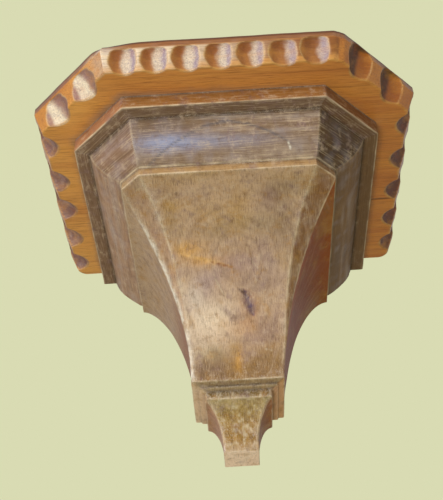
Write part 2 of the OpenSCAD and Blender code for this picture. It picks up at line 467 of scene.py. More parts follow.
def paint_body(points, distances, zones, stretch):
    """Colour of each point, from its zone, its face, and the marks and patches on it."""
    plan_arris, left_arris, profile_arris, profile_crease = distances
    x, y, z = points[..., 0], points[..., 1], points[..., 2]
    colour = np.broadcast_to(rgb("a98d6e"), points.shape)
    everywhere = np.ones_like(x)
    zone = {name: (zones == i)[:, None] * everywhere for i, name in enumerate(ZONES)}
    sides = ("right", "right_corner", "front", "left_corner", "left")
    side = {name: (stretch == i)[None, :] * everywhere for i, name in enumerate(sides)}
    patchy = rough(points, (26, 26, 30), 21)
    mottled = rough(points, (7, 7, 9), 22)

    for name, tones in ZONE_TONES.items():
        for place, tone in zip(sides, tones):
            colour = paint(colour, (zone[name] * side[place], tone))
    right, right_corner, front, left_corner, left = side.values()
    ovolo, tongue, pendant, scoop = (zone[name] for name in ("ovolo", "tongue", "pendant", "hollow"))
    tongue_front = tongue * front
    bands = noise(points * [0.02, 0.02, 1], (1, 1, 2.6), 27)
    # pale streaks along the ovolo: partly streaks in the wood, partly a painted sheen; kept off the right
    # corner, which faces away from the lamps
    pale_streaks_and_sheen = unit(-bands - 0.1) * (1 - right_corner)
    colour = paint(
        colour,
        (ovolo * rise(16 - z, -20, 10) * 0.35 * front, "a58d78"),
        # painted shade along the top of the ovolo, under the soffit
        (ovolo * rise(z, 32, 41) * 0.6, "63503f"),
        (ovolo * unit(0.2 + mottled) * 0.4, "8a6b48"),
        (ovolo * unit(bands) * 0.6, "5f4c3e"),
        (ovolo * pale_streaks_and_sheen * 0.5, "b4a49a"),
        (ovolo * unit(-mottled) * 0.5, "a59ba0"),
        (tongue_front * rise(z, -24, 8) * 0.7, "d2ac88"),
        (tongue * unit(patchy * 1.8) * 0.55, "a5803f"),
        (tongue_front * unit(-patchy * 1.6) * 0.55, "967c78"),
        (tongue_front * rise(-z, 70, 96) * 0.85, "8a6426"),
        (tongue * right * rise(-z, -5, 40) * 0.8, "8a3a00"),
        (tongue * left * rise(-z, 15, 60) * 0.85, "96562e"),
    )
    for centre, radii, tone, amount in TONGUE_PATCHES:
        colour = paint(colour, (tongue_front * spot(points, centre, radii) * amount, tone))

    orange_edge = right * tongue * bump_at(plan_arris, 5, 9) * rise(-z, -5, 25)
    golden_edge = left * tongue * bump_at(plan_arris, 1.5, 3.5) * rise(-z, 0, 30)
    flaky = rough(points, (2.4, 2.4, 3.4), 28)
    old = front * (scoop + 0.8 * pendant + 0.5 * zone["foot"])
    stub = rise(-z, 140, 147)
    crease = bump_at(profile_crease, 0, 1.7)[:, None] * everywhere
    small = zone["collar"] + pendant + zone["foot"] + scoop
    crease = crease * (1 - 0.6 * small * (1 - front))
    under_board = zone["fillet"] * bump_at(z, BOARD_BOTTOM, 1.5)
    # painted bluish sheen on the front of the ovolo, standing in for the sky lamp's reflection
    sky_sheen = spot(points, (-46, -193, 25), (26, 9, 6)) + 0.5 * spot(points, (0, -193, 24), (40, 9, 4))
    ring = np.hypot(x - PITH[0] + 2, y - PITH[1]) + 0.6 * mottled - 99
    ring_shown = rise(z - 0.1 * x, 12, 22)
    mitred = 0.75 * tongue + 0.5 * (pendant + scoop) + 0.3 * ovolo
    upright = bump_at(plan_arris, 0, 1.0) * mitred
    level = bump_at(profile_arris, 0, 0.9)[:, None] * (1 - 0.7 * zone["collar"])
    arris = np.maximum(upright, 0.9 * level)
    worn = unit(0.7 + 1.1 * rough(points, 9, 23))
    wide = bump_at(plan_arris, 0, 3.2) * tongue * unit(rough(points, 9, 24) + 0.1)
    ragged = bump_at(left_arris, 0, 3.2) * rise(-z, -6, 6)
    ragged = ragged * unit(0.75 + 2.2 * rough(points, (4, 4, 5), 26))
    knot_start, knot_end, knot_width = KNOT
    check_start, check_end, check_width = RADIAL_CHECK
    colour = paint(
        colour,
        (tongue * (right_corner + left_corner) * unit(0.1 + mottled) * 0.5, "bca490"),
        (orange_edge * 0.8, "a8500c"),
        (golden_edge * 0.75, "b67c38"),
        (scoop * unit(mottled + 0.1) * 0.7, "7d6238"),
        (scoop * unit(-mottled) * 0.5, "cbb68c"),
        (scoop * front * (1 - rise(-z, 114, 124)) * 0.6, "d2b884"),
        (scoop * front * rise(-z, 118, 132) * 0.7, "966a20"),
        (old * unit(2.4 * flaky - 0.2) * 0.55, "e4d6b8"),
        (old * unit(-2.4 * flaky) * 0.6, "705318"),
        (pendant * front * unit(mottled) * 0.7, "6f5532"),
        (stub * unit(0.5 + mottled) * 0.8, "cdb291"),
        (stub * (left + left_corner), "d6b8b8"),
        (zone["bottom"], "ffdcc2"),
        (zone["bottom"] * unit(mottled) * 0.4, "dcb090"),
        # dark line along each crease: painted shade in the inner corner, with some dirt
        (crease * (0.62 + 0.3 * mottled), "33261c"),
        (under_board * unit(0.5 + patchy), "8f8378"),
        # painted bluish sheen on the ovolo
        (ovolo * front * sky_sheen * 0.65, "93a0c8"),
        (ovolo * front * bump_at(ring, 0, 0.6) * ring_shown * 0.7, "50505c"),
        (arris * worn, "dcc4a4"),
        (wide * 0.7 * (1 - right), "cdb99c"),
        (tongue * ragged, "f0e6d6"),
        (groove(points, knot_start, knot_end, 2.2 * knot_width) * 0.6, "b07a58"),
        (groove(points, knot_start, knot_end, 1.25 * knot_width) * (1.1 + 0.9 * mottled), "5f4a5e"),
        (groove(points, *KNOT_TAIL), "5a3f3a"),
        (groove(points, check_start, check_end, 1.6 * check_width), "e2b06c"),
        (groove(points, check_end, (-18, -103, -21.4), check_width), "8a4c22"),
        *((groove(points, *mark) * 0.8, "cbb89c") for mark in SCRATCHES),
        (groove(points, *NICK), "f0e6d4"),
        *((groove(points, *mark) * 0.8, "5d4327") for mark in PENDANT_CHECKS),
    )
    for centre, size, _ in CHIPS:
        bare = rise(size * 1.05 - np.linalg.norm(points - np.array(centre), axis=-1), 0, size * 0.5)
        colour = paint(colour, (bare * 0.55, "c3a783"))
    return colour


def chalk_on_body(points, plan_arris, nearest, zone_at, stretch):
    """How much pale dust and wear shows: most along arrises, in creases and on the pendant."""
    creases = bump_at(nearest["crease"], 0, 2.2) + 0.6 * bump_at(nearest["arris"], 0, 2.5)
    edges = bump_at(plan_arris, 0, 4.0)
    low = rise(-points[..., 2], 92, 112)
    corner = (zone_at == ZONES.index("tongue")) * spot(points, (-62, -150, -2), (40, 34, 34))
    worn = 0.25 + 0.55 * low + 0.5 * unit(creases[:, None] + edges) + 0.35 * corner
    dusty = np.array([0.15, 0.6, 1.0, 1.0, 1.0])[stretch][None, :]
    clean = (stretch == 4)[None, :] * rise(-points[..., 2], 20, 60)
    worn = unit(worn + 0.3 * rough(points, 15, 25))
    return worn * dusty * (1 - 0.8 * clean)


def build_body():
    stations, zones, nearest, down = body_stations()
    points, plan_arris, stretch, run, left_arris = body_grid(stations)
    normals = grid_normals(points)
    carved = carve_body(points, normals, plan_arris, nearest["arris"], zones)
    lean_left = 1.8 * rise(-points[..., 2], 60, 125)
    carved[..., 0] -= lean_left
    carved[..., 1] = np.minimum(carved[..., 1], 0)
    carved[:, 0, 1] = 0
    carved[:, -1, 1] = 0
    carved[..., 2] = np.maximum(carved[..., 2], STUB_BOTTOM)
    carved[0, :, 2] = points[0, :, 2]
    distances = (plan_arris, left_arris, nearest["arris"], nearest["crease"])
    colour = paint_body(points, distances, zones, stretch)
    zone_at = np.broadcast_to(zones[:, None], plan_arris.shape)

    def within(*names):
        return np.isin(zone_at, [ZONES.index(name) for name in names]) * 1.0

    attributes = {
        "dull": within("soffit", "foot", "bottom"),
        "moulded": within("fillet", "soffit", "ovolo", "band"),
        "ringed": within("tongue") * rise(-points[..., 2], -14, 4),
        "chalk": chalk_on_body(points, plan_arris, nearest, zone_at, stretch),
        "along": run - run.mean(1, keepdims=True),
        "down": np.broadcast_to(down[:, None], run.shape),
    }
    return make_piece("carved_corbel_body", carved, attributes, colour)


# ---- the board's form
COLUMN_STEP = 0.8
EDGE_ROWS = 46
UNDER_ROWS = 22
TOP_ROWS = 5
UNDER_REACH = 40.0
TOP_REACH = 30.0
MITRE_ZONE = 26.0
MITRE_SLOPE = math.tan(math.radians(22.5))


def board_columns():
    """Points along the rim, each with the way in from it and the face that it is on."""
    half, depth, cut, r = BOARD_HALF, BOARD_DEPTH, BOARD_CUT, BACK_CORNER_R
    across = [half, half, half - cut, cut - half, -half, -half]
    ends = np.array([across, [-r, cut - depth, -depth, -depth, cut - depth, -r]]).T
    arc = np.linspace(math.pi / 2, 0, 13)[:-1]
    first = np.stack([half - r + r * np.cos(arc), -r + r * np.sin(arc)], axis=1)
    rim, way_in, face = [first], [np.tile([-1.0, 0.0], (len(first), 1))], [np.zeros(len(first))]
    for i in range(5):
        a, b = ends[i], ends[i + 1]
        length = np.linalg.norm(b - a)
        tangent = (b - a) / length
        inward = np.array([tangent[1], -tangent[0]])
        steps = int(length / COLUMN_STEP)
        t = np.arange(0 if i == 0 else 1, steps + 1) / steps * length
        turn = np.zeros_like(t)
        if i > 0:
            turn += MITRE_SLOPE * unit(1 - t / MITRE_ZONE)
        if i < 4:
            turn -= MITRE_SLOPE * unit(1 - (length - t) / MITRE_ZONE)
        rim.append(a + t[:, None] * tangent)
        way_in.append(inward + turn[:, None] * tangent)
        face.append(np.full(len(t), i))
    last = first[::-1] * [-1, 1]
    rim.append(last)
    way_in.append(np.tile([1.0, 0.0], (len(last), 1)))
    face.append(np.full(len(last), 4.0))
    return np.concatenate(rim), np.concatenate(way_in), np.concatenate(face)


def face_line(face):
    """Middle of a face's rim line, its direction and the way in from it."""
    half, depth, cut = BOARD_HALF, BOARD_DEPTH, BOARD_CUT
    slope = math.sqrt(0.5)
    middle, tangent, inward = {
        "front": ((0, -depth), (1, 0), (0, 1)),
        "right": ((half, 0), (0, 1), (-1, 0)),
        "left": ((-half, 0), (0, 1), (1, 0)),
        "right_corner": ((half - cut / 2, cut / 2 - depth), (slope, slope), (-slope, slope)),
        "left_corner": ((cut / 2 - half, cut / 2 - depth), (-slope, slope), (slope, slope)),
    }[face]
    return np.array(middle), np.array(tangent, float), np.array(inward, float)


FRONT_PITCH = 24
FRONT_ROW_SHIFT = -1.5
HALF_CUT = 11.0
CUT_START_IN = 5.0
CUT_START_DROP = 4.4
CUT_REACH_ALONG = 34
CUT_REACH_IN = 26
LEAST_FACING = 0.4
SETTLING_PASSES = 30
SETTLING_SHARE = 0.4
BOARD_ARRIS = 0.8
RIM_WAVES, RIM_SET_IN = 0.35, 0.2
LEFT_CORNER_WEAR, LEFT_CORNER_WEAR_DROP = 3.4, 9
RIGHT_CORNER_WEAR, RIGHT_CORNER_WEAR_WIDTH = 1.5, 3.2


def gouge_cuts():
    """Every cut: its face, the place of its deepest line along it, bite, radii before and after
    that line, slant, and how far below the top it starts."""
    cuts = []
    chance = np.random.default_rng(7)
    for i, top in enumerate((6.8, 7.6, 7.0, 7.0, 6.8, 7.8, 6.0)):
        wander = chance.uniform(-0.6, 0.6, 3)
        place = FRONT_ROW_SHIFT + (i - 3) * FRONT_PITCH + wander[0]
        cuts.append(("front", place, 10.2 + 0.6 * wander[1], 20, 15.5 + wander[2], 0.0, top))
    for face, before, after, slant, top, places in (
        ("left_corner", 20, 20, 0.0, 8.5, ((-16.5, 14.5),)),
        ("left_corner", 20, 20, 0.0, 8.0, ((18, 14.5),)),
        ("right_corner", 18, 18, 0.0, 2.0, ((-19.5, 12), (17, 12))),
        ("left", 17.0, 12.0, 0.12, 5.5, ((-167, 17), (-127, 18.5), (-92, 19.5), (-54, 18.5), (-19, 18))),
        ("right", 16.5, 12.5, 0.12, 2.5, ((-170, 15), (-132, 16.5), (-94, 17), (-58, 16.5), (-24, 15.5))),
    ):
        cuts += [(face, place, bite, before, after, slant, top) for place, bite in places]
    return cuts


def soft_max(a, b, softness):
    """The larger of two values, with the change from one to the other rounded."""
    share = unit(0.5 + 0.5 * (a - b) / softness)
    return b + (a - b) * share + softness * share * (1 - share)


def cut_depth(cut, t, drop):
    """How far in one cut reaches at t along the face and drop below the top."""
    _, place, bite, r_before, r_after, slant, top = cut
    start_drop = top + CUT_START_DROP
    slope = (bite - CUT_START_IN) / (BOARD_THICK - start_drop)
    line = CUT_START_IN + slope * (drop - start_drop)
    lead = unit((drop - top) / (start_drop - top))
    floor = np.where(drop < start_drop, CUT_START_IN * np.sqrt(1 - (1 - lead) ** 2), line)
    side = t - place - slant * (drop - start_drop)
    radius = np.where(side < 0, r_before, r_after)
    sag = radius - np.sqrt(np.maximum(radius**2 - side**2, 0))
    beyond = np.maximum(np.abs(side) - radius, 0)
    from_middle = (drop - (top + BOARD_THICK) / 2) / ((BOARD_THICK - top) / 2)
    fullness = np.where(side < 0, 3.0, 1.8)
    round_end = from_middle**2 * (0.5 + fullness * np.clip(side / HALF_CUT, -1.2, 1.2) ** 2) - 0.5
    return np.where(drop > top, floor, -1.0) - sag - 4 * beyond - round_end


def plain_in(drop):
    """How far in the uncut edge lies at drop below the top, with its arris rounded."""
    lean = BEVEL_IN * np.clip(drop - RIM_HEIGHT, 0, None) / (BOARD_THICK - RIM_HEIGHT)
    arris = BOARD_ARRIS
    return lean + arris - np.sqrt(np.clip(arris**2 - np.clip(arris - drop, 0, arris) ** 2, 0, None))


def board_edge(rim, way_in):
    """Heights below the top, and by column and height: the distance in from the rim, how much
    further in the deepest cut reaches than the plain edge, and the place across that cut, which is
    -1 and 1 at its ends."""
    drops = np.linspace(0, BOARD_THICK, 116)
    place = np.concatenate([rim, np.zeros((len(rim), 1))], axis=1)
    plain = plain_in(drops)[None, :] + (RIM_WAVES * rough(place, 19, 31)[:, None] + RIM_SET_IN)
    reach = plain.copy()
    for _ in range(SETTLING_PASSES):
        deepest = np.full(reach.shape, -9.0)
        across = np.zeros(reach.shape)
        for cut in gouge_cuts():
            middle, tangent, inward = face_line(cut[0])
            near = np.abs((rim - middle) @ tangent - cut[1]) < CUT_REACH_ALONG
            near &= np.abs((rim - middle) @ inward) < CUT_REACH_IN
            near &= (way_in @ inward) > LEAST_FACING
            at = rim[near, None, :] + way_in[near, None, :] * reach[near][..., None]
            t, inside = (at - middle) @ tangent, (at - middle) @ inward
            rate = (way_in[near] @ inward)[:, None]
            here = reach[near] + (cut_depth(cut, t, drops[None, :]) - inside) / rate
            across[near] = np.where(here > deepest[near], (t - cut[1]) / HALF_CUT, across[near])
            deepest[near] = np.maximum(deepest[near], here)
        wanted = soft_max(plain, deepest, 0.7)
        reach = reach + SETTLING_SHARE * (wanted - reach)
    along = rim[:, 0]
    corner_x = BOARD_HALF - BOARD_CUT
    beside = np.where(along > -corner_x, 17.0, 5.0)
    worn = LEFT_CORNER_WEAR * bump_at(along, -corner_x, beside) * (rim[:, 1] < -60)
    reach = reach + worn[:, None] * unit(1 - drops / LEFT_CORNER_WEAR_DROP)[None, :] ** 1.5
    away = np.linalg.norm(rim - np.array([corner_x, -BOARD_DEPTH]), axis=1)
    reach = reach + RIGHT_CORNER_WEAR * bump_at(away, 0, RIGHT_CORNER_WEAR_WIDTH)[:, None]
    edge = BOARD_ARRIS
    last = np.clip(drops - (BOARD_THICK - edge), 0, edge)
    reach = reach + (edge - np.sqrt(edge**2 - last**2))[None, :]
    return drops, reach, deepest - plain, across


def resample_columns(drops, reach, values):
    """Rows at even distances down each column's own outline, with the other values there."""
    rows = []
    for column in range(len(reach)):
        step = np.hypot(np.diff(drops), np.diff(reach[column]))
        along = np.concatenate([[0], np.cumsum(step)])
        wanted = np.linspace(0, along[-1], EDGE_ROWS)
        each = [drops, reach[column], *(value[column] for value in values)]
        rows.append([np.interp(wanted, along, value) for value in each])
    return np.array(rows).transpose(1, 2, 0)


BOARD_CHECKS = [
    ((123, -81.5, BOARD_BOTTOM), (141, -81.5, BOARD_BOTTOM), 0.9),
    ((112, -80.5, BOARD_BOTTOM), (126, -81.5, BOARD_BOTTOM), 0.4),
]


def paint_board(points, part, cut_by, across, faces_at):
    """Colour of each point, and how much painted reflection it has in the scoops, with some speckle
    in the cuts on the left. part is 0 on the top, 1 on the edge and 2 on the underside."""
    x, y, z = points[..., 0], points[..., 1], points[..., 2]
    drop = BOARD_TOP - z
    patchy = rough(points * [0.3, 1, 1], 26, 41)
    mottled = rough(points, 5, 42)
    colour = np.broadcast_to(rgb("cb8440"), points.shape)
    edge = (part == 1) * 1.0
    right, right_corner, front, left_corner, left = (edge * (faces_at == i) for i in range(5))
    in_cut = edge * rise(cut_by, -0.1, 0.5)
    rim = edge * (1 - rise(drop, RIM_HEIGHT - 1.5, RIM_HEIGHT + 0.5)) * (1 - in_cut)
    land = edge * rise(drop, RIM_HEIGHT - 1.0, RIM_HEIGHT + 1.0) * (1 - in_cut)
    wobble = 0.12 * mottled
    # painted sheen on the front lands, strongest towards the left, where they face the window light
    land_sheen = rise(-x, -75, 60)
    tip = bump_at(x, BOARD_CUT - BOARD_HALF, 11) * rise(-y, 120, 150) * rise(drop, 3, 6) * (1 - in_cut)
    flare = land * front * rise(drop, BOARD_THICK - 7, BOARD_THICK - 2)

    front_cut, left_cut, right_cut = in_cut * front, in_cut * left, in_cut * right
    left_corner_cut, right_corner_cut = in_cut * left_corner, in_cut * right_corner
    shade = front_cut * rise(-across - 0.04 * (drop - 12), 0.1, 0.9)
    # painted light: a warmer, lighter band low in the middle-left of each front scoop, between its
    # painted shade and its painted reflection
    lit_band = front_cut * bump_at(across, -0.25, 0.35) * rise(drop, 12, 22)
    # painted reflection of the window light on the right part of each front scoop: cream, greyer to the
    # right, with a bluish streak
    bend = 0.12 * ((drop - 16) / 8) ** 2
    reflection_edge = -0.22 + 0.42 * rise(x, -30, 90) + 2 * wobble + bend
    cut_reflection = front_cut * rise(across, reflection_edge - 0.15, reflection_edge + 0.3)
    cut_reflection = cut_reflection * (1 - 0.3 * rise(x, 0, 60))
    blue_reflection = cut_reflection * bump_at(across + 1.5 * wobble, 0.68 - 0.1 * rise(x, 0, 80), 0.22)
    # painted reflection, cream, across the left-corner scoops
    cream_reflection = left_corner_cut * rise(across + 2 * wobble + 0.03 * (drop - 14), -0.3, 0.3)
    cream_reflection = cream_reflection * (1 - rise(across, 0.75, 1.0))
    # painted shade on the wall of each right-corner scoop that faces away from the light
    shaded_wall = right_corner_cut * (1 - rise(across + wobble, -0.1, 0.25))

    arris = edge * bump_at(cut_by, 0.1, 0.5) * rise(drop, 3, 6)
    worn = unit(0.7 + rough(points, 7, 43))
    lower = edge * rise(drop, BOARD_THICK - 1.6, BOARD_THICK - 0.5)
    under = (part == 2) * 1.0
    body_half, body_depth = BOARD_HALF - OVERHANG, BOARD_DEPTH - OVERHANG
    body_cut = BOARD_CUT - CUT_SHARE * OVERHANG
    diagonal = (np.abs(x) - y - (body_half + body_depth - body_cut)) * math.sqrt(0.5)
    clear = np.maximum(np.maximum(np.abs(x) - body_half, -y - body_depth), diagonal)
    # greyer on the underside close round the body
    grey_round_body = under * (1 - rise(clear, 0, 7 + 3 * mottled)) * unit(0.55 + patchy)
    colour = paint(
        colour,
        (unit(patchy) * 0.5, "d89440"),
        (unit(-patchy) * 0.6, "b46c2c"),
        (rise(x, 30, 130) * 0.45, "a8581a"),
        (rise(-x, 60, 130) * unit(0.6 + patchy) * 0.6, "f0b05c"),
        (rim * 0.9, "8a5a34"),
        (rim * front * unit(mottled) * 0.6, "a27c68"),
        (rim * front * rise(-x, 30, 90) * 0.6, "a8702c"),
        (rim * (left_corner + left) * 0.85, "7c4a2c"),
        (land * front, "8c5626"),
        # painted sheen on the front lands
        (land * front * land_sheen, "e6d0b2"),
        (edge * tip * unit(0.8 + mottled), "e2cfb4"),
        (edge * tip * unit(1.5 * mottled) * 0.8, "8d7a80"),
        (flare * (0.9 - 0.4 * land_sheen), "c98f4c"),
        (land * (left_corner + right_corner) * 0.5, "b4742c"),
        (land * (left + right) * 0.5, "a5714a"),
        (front_cut, "98581e"),
        (front_cut * rise(x, -60, 80) * 0.6, "7e4820"),
        (front_cut * unit(mottled) * 0.6, "7f4f2c"),
        (shade * 0.5, "633619"),
        # painted light in the front scoops
        (lit_band * 0.6, "bc7d3e"),
        # painted reflection in the front scoops
        (cut_reflection * 0.95, "dccab2"),
        (cut_reflection * rise(x, 10, 80) * 0.7, "b49ea6"),
        (blue_reflection * 0.85, "8a7c98"),
        (front_cut * bump_at(across, -0.95, 0.22) * 0.6, "b57a35"),
        (left_corner_cut, "94706a"),
        # painted reflection in the left-corner scoops
        (cream_reflection * 0.95, "f0e0c4"),
        (left_corner_cut * bump_at(across, -0.75, 0.3) * 0.6, "6b4e4c"),
        (right_corner_cut, "a35a10"),
        # painted shade in the right-corner scoops
        (shaded_wall * 0.97, "38201a"),
        (left_cut, "74504a"),
        (left_cut * unit(mottled + 0.1) * 0.8, "54383a"),
        (left_cut * unit(-mottled) * 0.6, "b8a09c"),
        (right_cut, "52240c"),
        (right_cut * unit(mottled) * 0.6, "40201a"),
        (arris * worn * (0.75 - 0.35 * right), "dcb67e"),
        (lower * worn * 0.75, "d09a55"),
        ((1 - rise(drop, 2.2, 3.2)) * (part > 0), "2e1a12"),
        (grey_round_body * 0.75, "85756a"),
        *((groove(points, *mark) * under, "4a2313") for mark in BOARD_CHECKS),
    )
    return colour, unit(cut_reflection + cream_reflection + 0.4 * in_cut * (left + left_corner))


def build_board():
    rim, way_in, face = board_columns()
    drops, reach, cut_by, across = board_edge(rim, way_in)
    drop, into, cut, across = resample_columns(drops, reach, (cut_by, across))
    count = len(rim)
    share = (np.arange(UNDER_ROWS) + 1)[:, None] / UNDER_ROWS
    under_in = into[-1] + (UNDER_REACH - into[-1]) * share
    top_in = into[0] + (TOP_REACH - into[0]) * np.linspace(1, 0, TOP_ROWS + 1)[:-1, None] ** 2
    into = np.concatenate([top_in, into, under_in])
    drop = np.concatenate(
        [np.zeros((TOP_ROWS, count)), drop, np.full((UNDER_ROWS, count), BOARD_THICK)]
    )
    nothing = -9.0
    cut, across = (
        np.pad(value, ((TOP_ROWS, UNDER_ROWS), (0, 0)), constant_values=nothing)
        for value in (cut, across)
    )
    part = np.repeat([0, 1, 2], [TOP_ROWS, EDGE_ROWS, UNDER_ROWS])[:, None] * np.ones((1, count))
    plan = rim[None] + way_in[None] * into[..., None]
    points = np.concatenate([plan, (BOARD_TOP - drop)[..., None]], axis=2)
    faces_at = np.broadcast_to(face[None, :], part.shape)
    colour, pale = paint_board(points, part, cut, across, faces_at)

    normals = grid_normals(points)
    depth = 0.12 * rough(points * [0.3, 1, 1], 14, 32)
    depth += 0.05 * rough(points * [0.1, 1, 1], 1.6, 33)
    in_cut = rise(cut, 0, 0.8) * (part == 1)
    depth += in_cut * 0.22 * rough(points, 3.2, 34)
    arris = bump_at(cut, 0, 0.8) * (part == 1)
    depth -= 0.35 * arris * unit(rough(points, 6, 35))
    for mark in BOARD_CHECKS:
        depth -= 0.5 * groove(points, *mark) * (part == 2)
    points = points + normals * (depth * (part > 0))[..., None]
    points[..., 2] = np.clip(points[..., 2], BOARD_BOTTOM, BOARD_TOP)
    points[..., 0] = np.clip(points[..., 0], -BOARD_HALF, BOARD_HALF)
    points[..., 1] = np.clip(points[..., 1], -BOARD_DEPTH, 0)
    points[:, 0, 1] = 0
    points[:, -1, 1] = 0

    return make_piece("gouged_shelf_board", points, {"cut": in_cut, "pale": pale}, colour)


# ---- materials
BUMP_DEPTH = 0.5 * MM


def add_node(tree, kind, inputs=(), **settings):
    """A shader node with its settings, and its inputs by name or number as values or links."""
    made = tree.nodes.new("ShaderNode" + kind)
    for key, value in settings.items():
        setattr(made, key, value)
    for key, value in dict(inputs).items():
        if isinstance(value, bpy.types.NodeSocket):
            tree.links.new(value, made.inputs[key])
        else:
            made.inputs[key].default_value = value
    return made


def calc(tree, operation, a, b=0.0, clamp=False):
    inputs = {0: a, 1: b}
    return add_node(tree, "Math", inputs, operation=operation, use_clamp=clamp).outputs[0]


def product(tree, a, b):
    return calc(tree, "MULTIPLY", a, b)


def mix(tree, share, a, b):
    return add_node(tree, "Mix", {0: share, 6: a, 7: b}, data_type="RGBA").outputs[2]


def vector_math(tree, operation, inputs, output=0):
    return add_node(tree, "VectorMath", inputs, operation=operation).outputs[output]


def stepped(tree, value, low, high):
    """Value turned into 0 below low and 1 above high."""
    inputs = {"Value": value, "From Min": low, "From Max": high}
    return add_node(tree, "MapRange", inputs, clamp=True).outputs[0]


def stretched_noise(tree, place, squeeze, scale, detail=4.0, roughness=0.6):
    """Noise at a place in mm, with that place squeezed along the grain."""
    vector = vector_math(tree, "MULTIPLY", {0: place, 1: squeeze})
    inputs = {"Vector": vector, "Scale": scale, "Detail": detail, "Roughness": roughness}
    return add_node(tree, "TexNoise", inputs).outputs[0]


def attribute(tree, name, output=2):
    return add_node(tree, "Attribute", attribute_name=name).outputs[output]


def flat(text):
    return (*rgb(text).tolist(), 1.0)


def new_material(name):
    material = bpy.data.materials.new(name)
    material.use_nodes = True
    tree = material.node_tree
    place = add_node(tree, "TexCoord").outputs["Object"]
    place = vector_math(tree, "SCALE", {0: place, "Scale": 1 / MM})
    return material, tree, tree.nodes["Principled BSDF"], place


def finish_material(tree, shader, colour, roughness, height, strength):
    tree.links.new(colour, shader.inputs["Base Color"])
    tree.links.new(roughness, shader.inputs["Roughness"])
    inputs = {"Height": height, "Strength": strength, "Distance": BUMP_DEPTH}
    bump = add_node(tree, "Bump", inputs)
    tree.links.new(bump.outputs[0], shader.inputs["Normal"])
    tree.links.new(bump.outputs[0], shader.inputs["Coat Normal"])


def overlay(tree, colour, *layers):
    """colour with each layer in turn laid over it. A layer is a value, the low and high between
    which its tone comes up, the tone's greatest share, the tone, and what else holds it back."""
    for value, low, high, amount, tone, *held_by in layers:
        share = stepped(tree, value, low, high)
        for factor in (*held_by, amount):
            share = product(tree, share, factor)
        colour = mix(tree, share, colour, flat(tone))
    return colour


def body_material():
    """Stained block: streaks down the tongue and along the mouldings, rings round the pith,
    purple and amber clouds, and pale dust in the pores."""
    material, tree, shader, place = new_material("aged_block_wood")
    colour = attribute(tree, "paint", 0)
    chalk = attribute(tree, "chalk")
    moulded = attribute(tree, "moulded")
    surface = add_node(
        tree, "CombineXYZ", {0: attribute(tree, "along"), 1: attribute(tree, "down")}
    ).outputs[0]
    down_grain = stretched_noise(tree, surface, (1, 0.08, 1), 1.7, 5.0, 0.8)
    along_grain = stretched_noise(tree, surface, (0.05, 1, 1), 0.9, 5.0, 0.75)
    fibre = add_node(
        tree, "Mix", {0: moulded, 2: down_grain, 3: along_grain}, data_type="FLOAT"
    ).outputs[0]
    crumb = stretched_noise(tree, place, (1, 1, 0.6), 0.8, 5.0, 0.85)
    fleck = stretched_noise(tree, place, (1, 1, 0.45), 1.5, 6.0, 0.9)
    cloud = stretched_noise(tree, place, (1, 1, 0.7), 0.11, 6.0, 0.7)
    other_cloud = stretched_noise(tree, place, (1, 0.8, 1), 0.16, 6.0, 0.7)

    dusty = stepped(tree, chalk, 0.0, 0.3)
    off_moulding = calc(tree, "SUBTRACT", 1.0, product(tree, moulded, 0.85))
    flat_place = vector_math(tree, "SUBTRACT", {0: place, 1: (PITH[0], PITH[1], 0)})
    flat_place = vector_math(tree, "MULTIPLY", {0: flat_place, 1: (1, 1, 0)})
    radius = vector_math(tree, "LENGTH", {0: flat_place}, "Value")
    waver = stretched_noise(tree, place, (1, 1, 0.5), 0.03, 2.0, 0.5)
    radius = calc(tree, "ADD", radius, product(tree, waver, 10.0))
    ring = calc(tree, "SINE", product(tree, radius, 2 * math.pi / PAINTED_RING_PITCH))
    uneven = stretched_noise(tree, place, (1, 1, 1), 0.06, 3.0, 0.6)
    ring_share = product(tree, attribute(tree, "ringed"), stepped(tree, uneven, 0.35, 0.65))
    ring_line = product(tree, stepped(tree, ring, 0.1, 1.0), ring_share)
    line_share = calc(tree, "SUBTRACT", 0.7, product(tree, moulded, 0.28))
    threshold = calc(tree, "SUBTRACT", 0.66, product(tree, chalk, 0.15))
    pore = calc(tree, "MULTIPLY", calc(tree, "SUBTRACT", fleck, threshold), 9.0, clamp=True)
    colour = overlay(
        tree,
        colour,
        (cloud, 0.52, 0.66, 0.5, "ab7a34", off_moulding),
        (cloud, 0.47, 0.32, 0.5, "806468", dusty),
        (other_cloud, 0.53, 0.68, 0.45, "d2b79c", dusty),
        (other_cloud, 0.46, 0.32, 0.45, "6f4f30"),
        (ring_line, 0.0, 1.0, 0.32, "7c6450"),
        (ring, -0.2, -1.0, 0.2, "c8ac94", ring_share),
        (fibre, 0.48, 0.34, line_share, "553a24"),
        (fibre, 0.52, 0.66, 0.5, "d6bc9a", dusty),
        (crumb, 0.45, 0.3, 0.4, "664a34"),
        (pore, 0.0, 1.0, 0.6, "e4d8d0", dusty),
    )
    roughness = calc(tree, "ADD", product(tree, crumb, 0.35), 0.28)
    roughness = calc(tree, "ADD", roughness, product(tree, attribute(tree, "dull"), 0.2))
    height = calc(tree, "ADD", fibre, product(tree, ring_line, -0.2))
    height = calc(tree, "ADD", height, product(tree, crumb, 0.8))
    finish_material(tree, shader, colour, roughness, height, 0.5)
    shader.inputs["Specular IOR Level"].default_value = 0.16
    shader.inputs["Coat Weight"].default_value = 0.05
    shader.inputs["Coat Roughness"].default_value = 0.3
    return material


